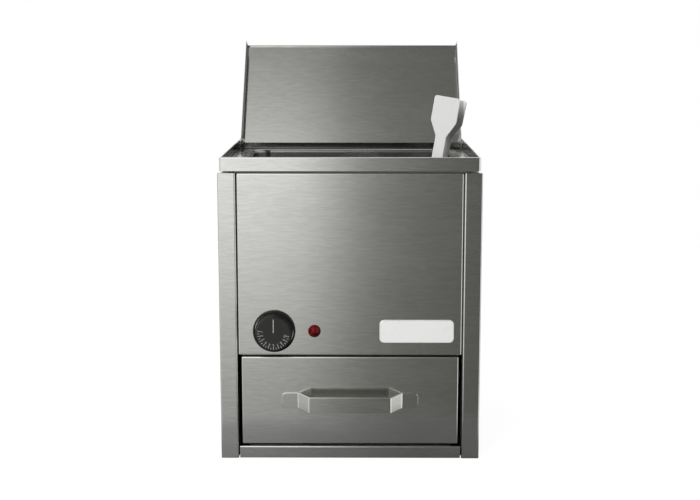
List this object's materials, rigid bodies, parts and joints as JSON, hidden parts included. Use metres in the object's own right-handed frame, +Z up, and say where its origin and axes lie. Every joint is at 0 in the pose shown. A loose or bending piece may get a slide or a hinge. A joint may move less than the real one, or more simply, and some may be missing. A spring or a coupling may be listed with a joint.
{
  "type": "bread warmer",
  "caption": "Counter-top steel bun warmer with a heated well under a lean-back lid, lift-out pan and tongs, thermostat dial, pilot lamp and a bread drawer",
  "frame": {"origin": "middle of the base, on the surface that the warmer stands on", "axes": "+Z up, the front with the drawer faces -Y, +X to the right seen from the front"},
  "size_m": [0.365, 0.4521, 0.5813],
  "materials": {
    "casing_steel": "fine horizontal brushing, slightly warm grey",
    "collar_steel": "fine brushing, bright at the bends",
    "lid_steel": "fine brushing",
    "pan_steel": "soft satin, brushed flange",
    "inner_sheet": "dull zinc-coated sheet",
    "drawer_sheet": "satin sheet",
    "handle_steel": "brushed strip with polished bends",
    "bright_fasteners": "bright plated steel",
    "element_metal": "matt, heat-darkened tube",
    "cutout_metal": "bright pressed can",
    "dial_black": "satin black with light printed figures",
    "skirt_black": "moulded black",
    "shaft_metal": "turned steel",
    "thermostat_case": "moulded dark plastic",
    "capillary_copper": "dull copper",
    "lens_red": "deep red lens",
    "holder_black": "moulded black",
    "badge_white": "plain white enamel",
    "tongs_white": "moulded white plastic",
    "gland_black": "moulded black nylon",
    "terminal_cream": "moulded cream plastic",
    "earth_brass": "plain brass"
  },
  "bodies": {
    "cabinet": {"left_side_panel": "casing_steel", "right_side_panel": "casing_steel", "front_panel": "casing_steel", "bottom_rail": "casing_steel", "back_panel": "casing_steel", "top_collar": "collar_steel", "base_plate": "inner_sheet", "deck_frame": "inner_sheet", "well_tank": "inner_sheet", "drawer_bay": "inner_sheet", "left_drawer_runner": "inner_sheet", "right_drawer_runner": "inner_sheet", "drawer_stop": "inner_sheet", "element_clamps": "inner_sheet", "back_screws": "bright_fasteners", "clamp_studs": "bright_fasteners", "lid_pivot_studs": "bright_fasteners", "lid_pivot_washers": "bright_fasteners", "lid_pivot_nuts": "bright_fasteners", "heating_element": "element_metal", "overheat_cutout": "cutout_metal", "knob_skirt": "skirt_black", "thermostat_body": "thermostat_case", "sensor_capillary": "capillary_copper", "pilot_lens": "lens_red", "pilot_holder": "holder_black", "badge_plate": "badge_white", "cable_gland": "gland_black", "gland_nut": "gland_black", "terminal_block": "terminal_cream", "earth_stud": "earth_brass"},
    "knob": {"control_knob": "dial_black", "thermostat_shaft": "shaft_metal"},
    "drawer": {"drawer_front": "casing_steel", "drawer_box": "drawer_sheet", "drawer_handle": "handle_steel"},
    "lid": {"lid_panel": "lid_steel"},
    "pan": {"food_pan": "pan_steel"},
    "tongs": {"tongs_front_arm": "tongs_white", "tongs_spring": "tongs_white"},
    "tongs_arm": {"tongs_rear_arm": "tongs_white"}
  },
  "joints": [
    {"name": "lid_hinge", "type": "hinge", "parent": "cabinet", "child": "lid", "pos_m": [0, 0.13777, 0.4253], "axis": [1, 0, 0], "range_deg": [0, 129.5]},
    {"name": "drawer_slide", "type": "slide", "parent": "cabinet", "child": "drawer", "axis": [0, -1, 0], "range_m": [0, 0.2327]},
    {"name": "knob_turn", "type": "hinge", "parent": "cabinet", "child": "knob", "pos_m": [-0.106, -0.156, 0.185], "axis": [0, 1, 0], "range_deg": [0, 270]},
    {"name": "pan_lift", "type": "slide", "parent": "cabinet", "child": "pan", "axis": [0, 0, 1], "range_m": [0, 0.17]},
    {"name": "tongs_lift", "type": "slide", "parent": "pan", "child": "tongs", "axis": [0, 0, 1], "range_m": [0, 0.25]},
    {"name": "tongs_squeeze", "type": "hinge", "parent": "tongs", "child": "tongs_arm", "pos_m": [0.10221, -0.08866, 0.27416], "axis": [0.9346, -0.3243, -0.146], "range_deg": [0, 8.5], "stiffness_Nm_per_rad": 1.5}
  ]
}
